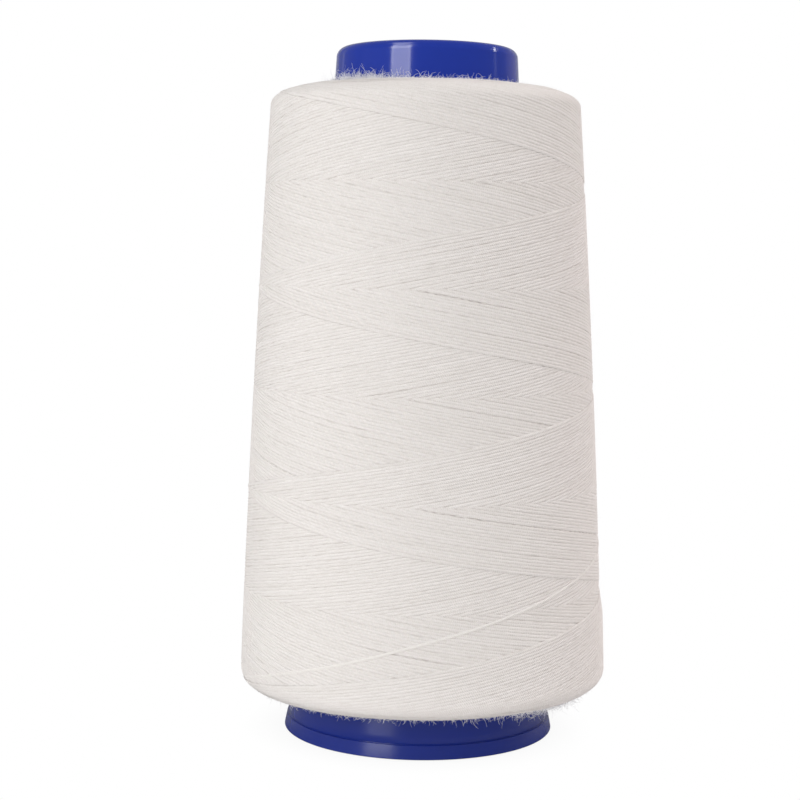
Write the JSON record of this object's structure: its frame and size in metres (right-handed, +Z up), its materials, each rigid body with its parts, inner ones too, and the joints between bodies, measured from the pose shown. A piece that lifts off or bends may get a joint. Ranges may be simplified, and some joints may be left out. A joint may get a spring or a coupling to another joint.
{
  "type": "cone of sewing thread",
  "caption": "Tapered cone of off-white spun polyester sewing thread, cross-wound on a hollow blue plastic cone with a round nose and a flared foot.",
  "frame": {"origin": "centre of the cone's foot, on the surface it stands on", "axes": "+Z up the cone's axis, from the wide foot to the round nose; -Y is the front"},
  "size_m": [0.0914, 0.0914, 0.17],
  "materials": {
    "cone_plastic": "glossy moulded blue polypropylene",
    "thread": "matt off-white spun polyester thread with a light fuzz"
  },
  "bodies": {
    "root": {"cone_core": "cone_plastic", "thread_winding": "thread"}
  },
  "joints": []
}
